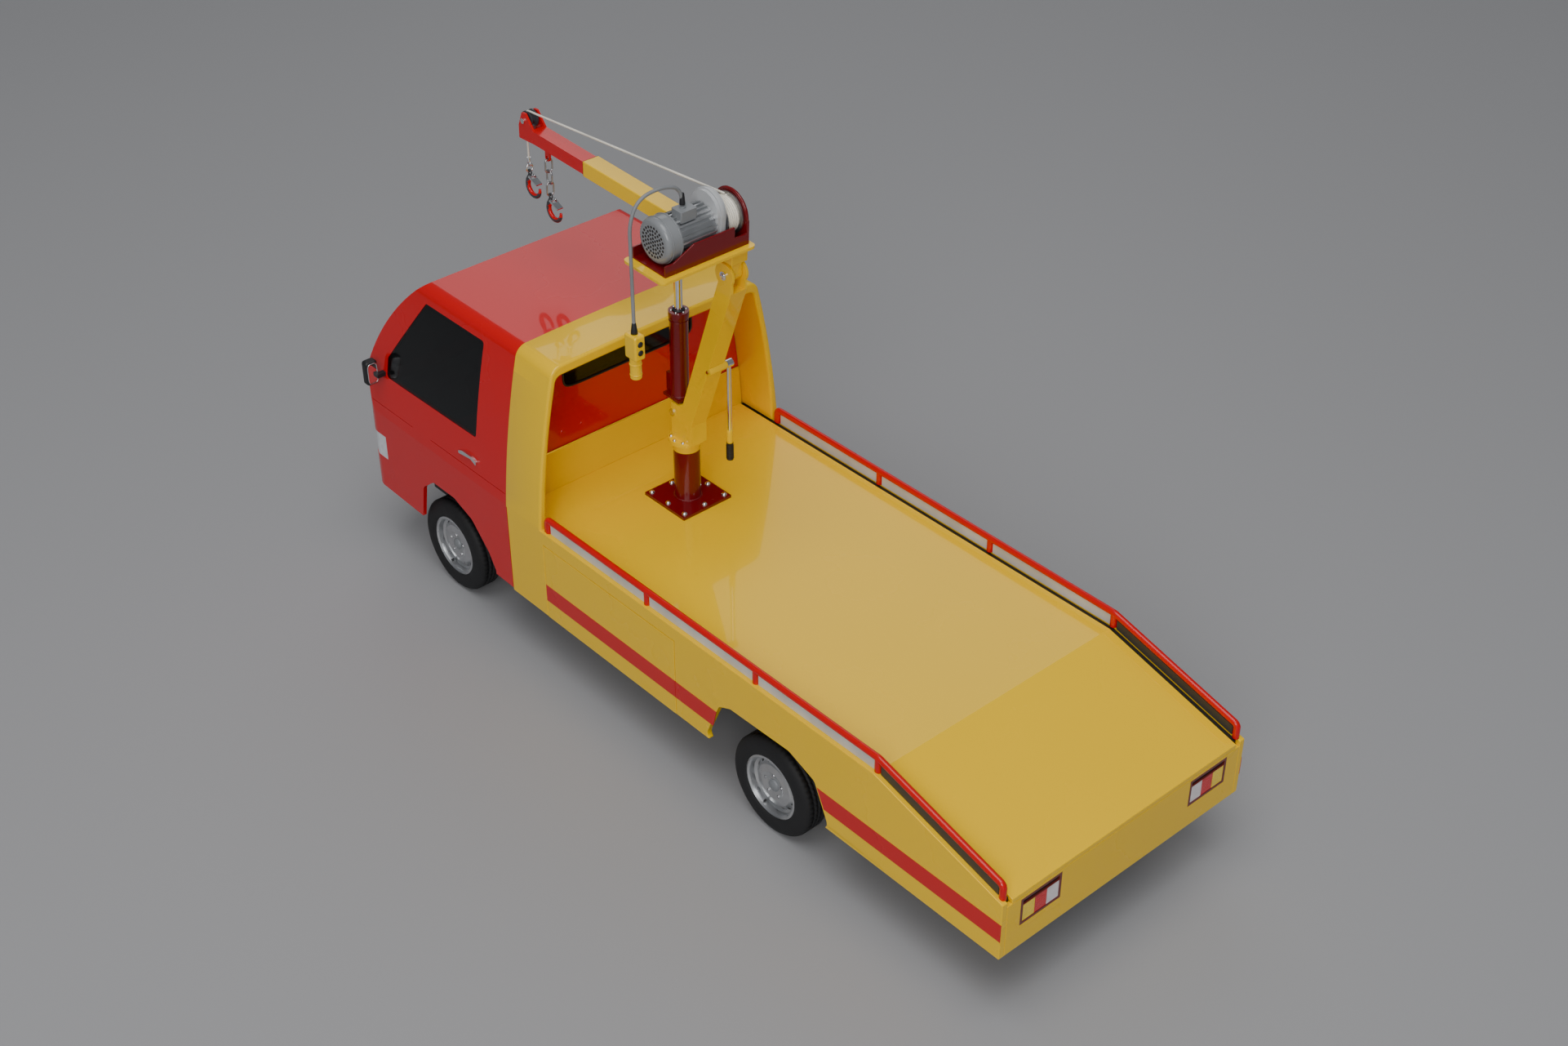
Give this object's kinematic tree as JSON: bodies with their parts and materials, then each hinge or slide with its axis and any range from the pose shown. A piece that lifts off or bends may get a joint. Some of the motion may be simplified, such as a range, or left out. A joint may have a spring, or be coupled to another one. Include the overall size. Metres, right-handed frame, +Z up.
{
  "type": "toy tow truck",
  "caption": "Toy flat-bed tow truck with a turning pillar crane: hinged and sliding boom, rope winch, hydraulic jack, two hooks and a hanging hand control.",
  "frame": {"origin": "on the ground under the middle of the truck's length and width", "axes": "+X towards the cab's nose, +Y to the truck's left, +Z up"},
  "size_m": [0.304, 0.1092, 0.181],
  "materials": {
    "yellow_enamel": "high gloss",
    "red_enamel": "high gloss",
    "dark_red_enamel": "gloss",
    "black_plastic": "satin",
    "grey_plastic": "satin",
    "dark_grey_metal": "satin",
    "motor_aluminium": "cast, satin",
    "tyre_rubber": "matt",
    "wheel_steel": "satin",
    "bright_steel": "polished",
    "smoked_glass": "dark tint",
    "lamp_lens": "clear gloss",
    "headlamp_lens": "clear gloss",
    "lamp_bezel": "gloss",
    "rope_fibre": "twisted fibre",
    "cable_rubber": "satin",
    "zinc_steel": "plated"
  },
  "bodies": {
    "truck": {"chassis": "black_plastic", "underside_fasteners": "zinc_steel", "bed_frame": "yellow_enamel", "deck_plate": "yellow_enamel", "side_skirts": "yellow_enamel", "locker_panels": "yellow_enamel", "edge_channels": "black_plastic", "side_rails": "red_enamel", "rail_strips": "grey_plastic", "tail_panel": "yellow_enamel", "tail_lamp_bezels": "lamp_bezel", "tail_lenses": "lamp_lens", "bulkhead_panel": "yellow_enamel", "cab_guard": "yellow_enamel", "cab_shell": "red_enamel", "cab_interior": "black_plastic", "cab_glazing": "smoked_glass", "headlamps": "headlamp_lens", "grille": "black_plastic", "front_bumper": "red_enamel", "door_handles": "bright_steel", "mirrors": "black_plastic", "crane_base": "dark_red_enamel", "base_bolts": "bright_steel"},
    "front_wheels": {"front_axle": "bright_steel", "front_rims": "wheel_steel", "front_tyres": "tyre_rubber"},
    "rear_wheels": {"rear_axle": "bright_steel", "rear_rims": "wheel_steel", "rear_tyres": "tyre_rubber"},
    "crane_mast": {"mast": "yellow_enamel", "mast_fasteners": "bright_steel"},
    "pump_lever": {"lever_arm": "bright_steel", "lever_grip": "black_plastic"},
    "crane_boom": {"boom_outer": "yellow_enamel", "winch_plate": "yellow_enamel", "winch_tray": "dark_red_enamel", "motor_body": "motor_aluminium", "fan_cover": "dark_grey_metal", "terminal_box": "grey_plastic", "gear_cover": "grey_plastic", "rope_run": "rope_fibre"},
    "drum": {"winch_drum": "zinc_steel", "rope_winding": "rope_fibre"},
    "sliding_boom": {"boom_inner": "red_enamel", "sheave_pin": "bright_steel"},
    "rope_wheel": {"sheave": "dark_grey_metal"},
    "jack_barrel": {"jack_cylinder": "dark_red_enamel"},
    "jack_piston": {"jack_rod": "bright_steel"},
    "hanging_rope": {"rope_fall": "rope_fibre"},
    "rope_end": {"rope_thimble": "bright_steel"},
    "hook_on_rope": {"rope_hook": "dark_grey_metal"},
    "rope_latch": {"rope_hook_latch": "zinc_steel"},
    "upper_link": {"chain_link_1": "zinc_steel"},
    "middle_link": {"chain_link_2": "zinc_steel"},
    "lower_link": {"chain_link_3": "zinc_steel"},
    "hook_on_chain": {"chain_hook": "dark_grey_metal"},
    "chain_latch": {"chain_hook_latch": "zinc_steel"},
    "hand_control": {"pendant_cable": "cable_rubber", "pendant_case": "yellow_enamel"}
  },
  "joints": [
    {"name": "front_axle_spin", "type": "hinge", "parent": "truck", "child": "front_wheels", "pos_m": [0.1062, 0, 0.01675], "axis": [0, 1, 0], "continuous": true},
    {"name": "rear_axle_spin", "type": "hinge", "parent": "truck", "child": "rear_wheels", "pos_m": [-0.0565, 0, 0.01675], "axis": [0, 1, 0], "continuous": true},
    {"name": "crane_slew", "type": "hinge", "parent": "truck", "child": "crane_mast", "pos_m": [0.033, 0.0029, 0.074], "axis": [0, 0, 1], "range_deg": [-120, 120]},
    {"name": "pump_lever_stroke", "type": "hinge", "parent": "crane_mast", "child": "pump_lever", "pos_m": [0.0179, 0.0029, 0.1093], "axis": [0, 1, 0], "range_deg": [-12, 22]},
    {"name": "boom_luff", "type": "hinge", "parent": "crane_mast", "child": "crane_boom", "pos_m": [0.00945, 0.0029, 0.14595], "axis": [0, -1, 0], "range_deg": [-6, 8]},
    {"name": "jack_tilt", "type": "hinge", "parent": "crane_mast", "child": "jack_barrel", "pos_m": [0.0356, 0.0029, 0.0868], "axis": [0, -1, 0], "range_deg": [-1, 1]},
    {"name": "jack_extend", "type": "slide", "parent": "jack_barrel", "child": "jack_piston", "axis": [-0.0202, 0, 0.9998], "range_m": [-0.0032, 0.0042]},
    {"name": "drum_spin", "type": "hinge", "parent": "crane_boom", "child": "drum", "pos_m": [0.01187, 0.0029, 0.16416], "axis": [0, 1, 0], "range_deg": [-57, 57]},
    {"name": "boom_extend", "type": "slide", "parent": "crane_boom", "child": "sliding_boom", "axis": [0.9992, 0, 0.04], "range_m": [-0.02, 0.025], "deforming": ["rope_run"]},
    {"name": "sheave_spin", "type": "hinge", "parent": "sliding_boom", "child": "rope_wheel", "pos_m": [0.10633, 0.0029, 0.16083], "axis": [0, 1, 0], "range_deg": [-155, 155]},
    {"name": "rope_plumb", "type": "hinge", "parent": "sliding_boom", "child": "hanging_rope", "pos_m": [0.10633, 0.0029, 0.16083], "axis": [0, -1, 0], "range_deg": [-10, 10]},
    {"name": "hook_lift", "type": "slide", "parent": "hanging_rope", "child": "rope_end", "axis": [0, 0, 1], "range_m": [-0.0062, 0.0062], "deforming": ["rope_fall"]},
    {"name": "rope_hook_swing", "type": "hinge", "parent": "rope_end", "child": "hook_on_rope", "pos_m": [0.10863, 0.0029, 0.14422], "axis": [0, -1, 0], "range_deg": [-2, 12]},
    {"name": "rope_hook_latch_turn", "type": "hinge", "parent": "hook_on_rope", "child": "rope_latch", "pos_m": [0.10773, 0.0029, 0.14029], "axis": [0, -1, 0], "range_deg": [0, 25], "stiffness_Nm_per_rad": 0.00005, "springref_deg": -11.46},
    {"name": "chain_plumb", "type": "hinge", "parent": "sliding_boom", "child": "upper_link", "pos_m": [0.098, 0.0029, 0.14996], "axis": [0, -1, 0], "range_deg": [-10, 10]},
    {"name": "middle_link_swing", "type": "hinge", "parent": "upper_link", "child": "middle_link", "pos_m": [0.098, 0.0029, 0.14592], "axis": [1, 0, 0], "range_deg": [-15, 15]},
    {"name": "lower_link_swing", "type": "hinge", "parent": "middle_link", "child": "lower_link", "pos_m": [0.098, 0.0029, 0.14188], "axis": [0, 1, 0], "range_deg": [-2, 10]},
    {"name": "chain_hook_swing", "type": "hinge", "parent": "lower_link", "child": "hook_on_chain", "pos_m": [0.098, 0.0029, 0.13724], "axis": [0, 1, 0], "range_deg": [-2, 10]},
    {"name": "chain_hook_latch_turn", "type": "hinge", "parent": "hook_on_chain", "child": "chain_latch", "pos_m": [0.0971, 0.0029, 0.13581], "axis": [0, -1, 0], "range_deg": [0, 25], "stiffness_Nm_per_rad": 0.00005, "springref_deg": -11.46},
    {"name": "hand_control_plumb", "type": "hinge", "parent": "crane_boom", "child": "hand_control", "pos_m": [0.01002, 0.0201, 0.17309], "axis": [0, -1, 0], "range_deg": [-10, 10]}
  ],
  "couplings": [
    {"joint": "jack_tilt", "follows": "boom_luff", "ratio": 0.0516},
    {"joint": "jack_extend", "follows": "boom_luff", "m_per_rad": 0.02485},
    {"joint": "rope_plumb", "follows": "boom_luff", "ratio": -1},
    {"joint": "chain_plumb", "follows": "boom_luff", "ratio": -1},
    {"joint": "hand_control_plumb", "follows": "boom_luff", "ratio": -1},
    {"joint": "sheave_spin", "follows": "drum_spin", "ratio": 2.65},
    {"joint": "hook_lift", "follows": "drum_spin", "m_per_rad": -0.0061}
  ]
}
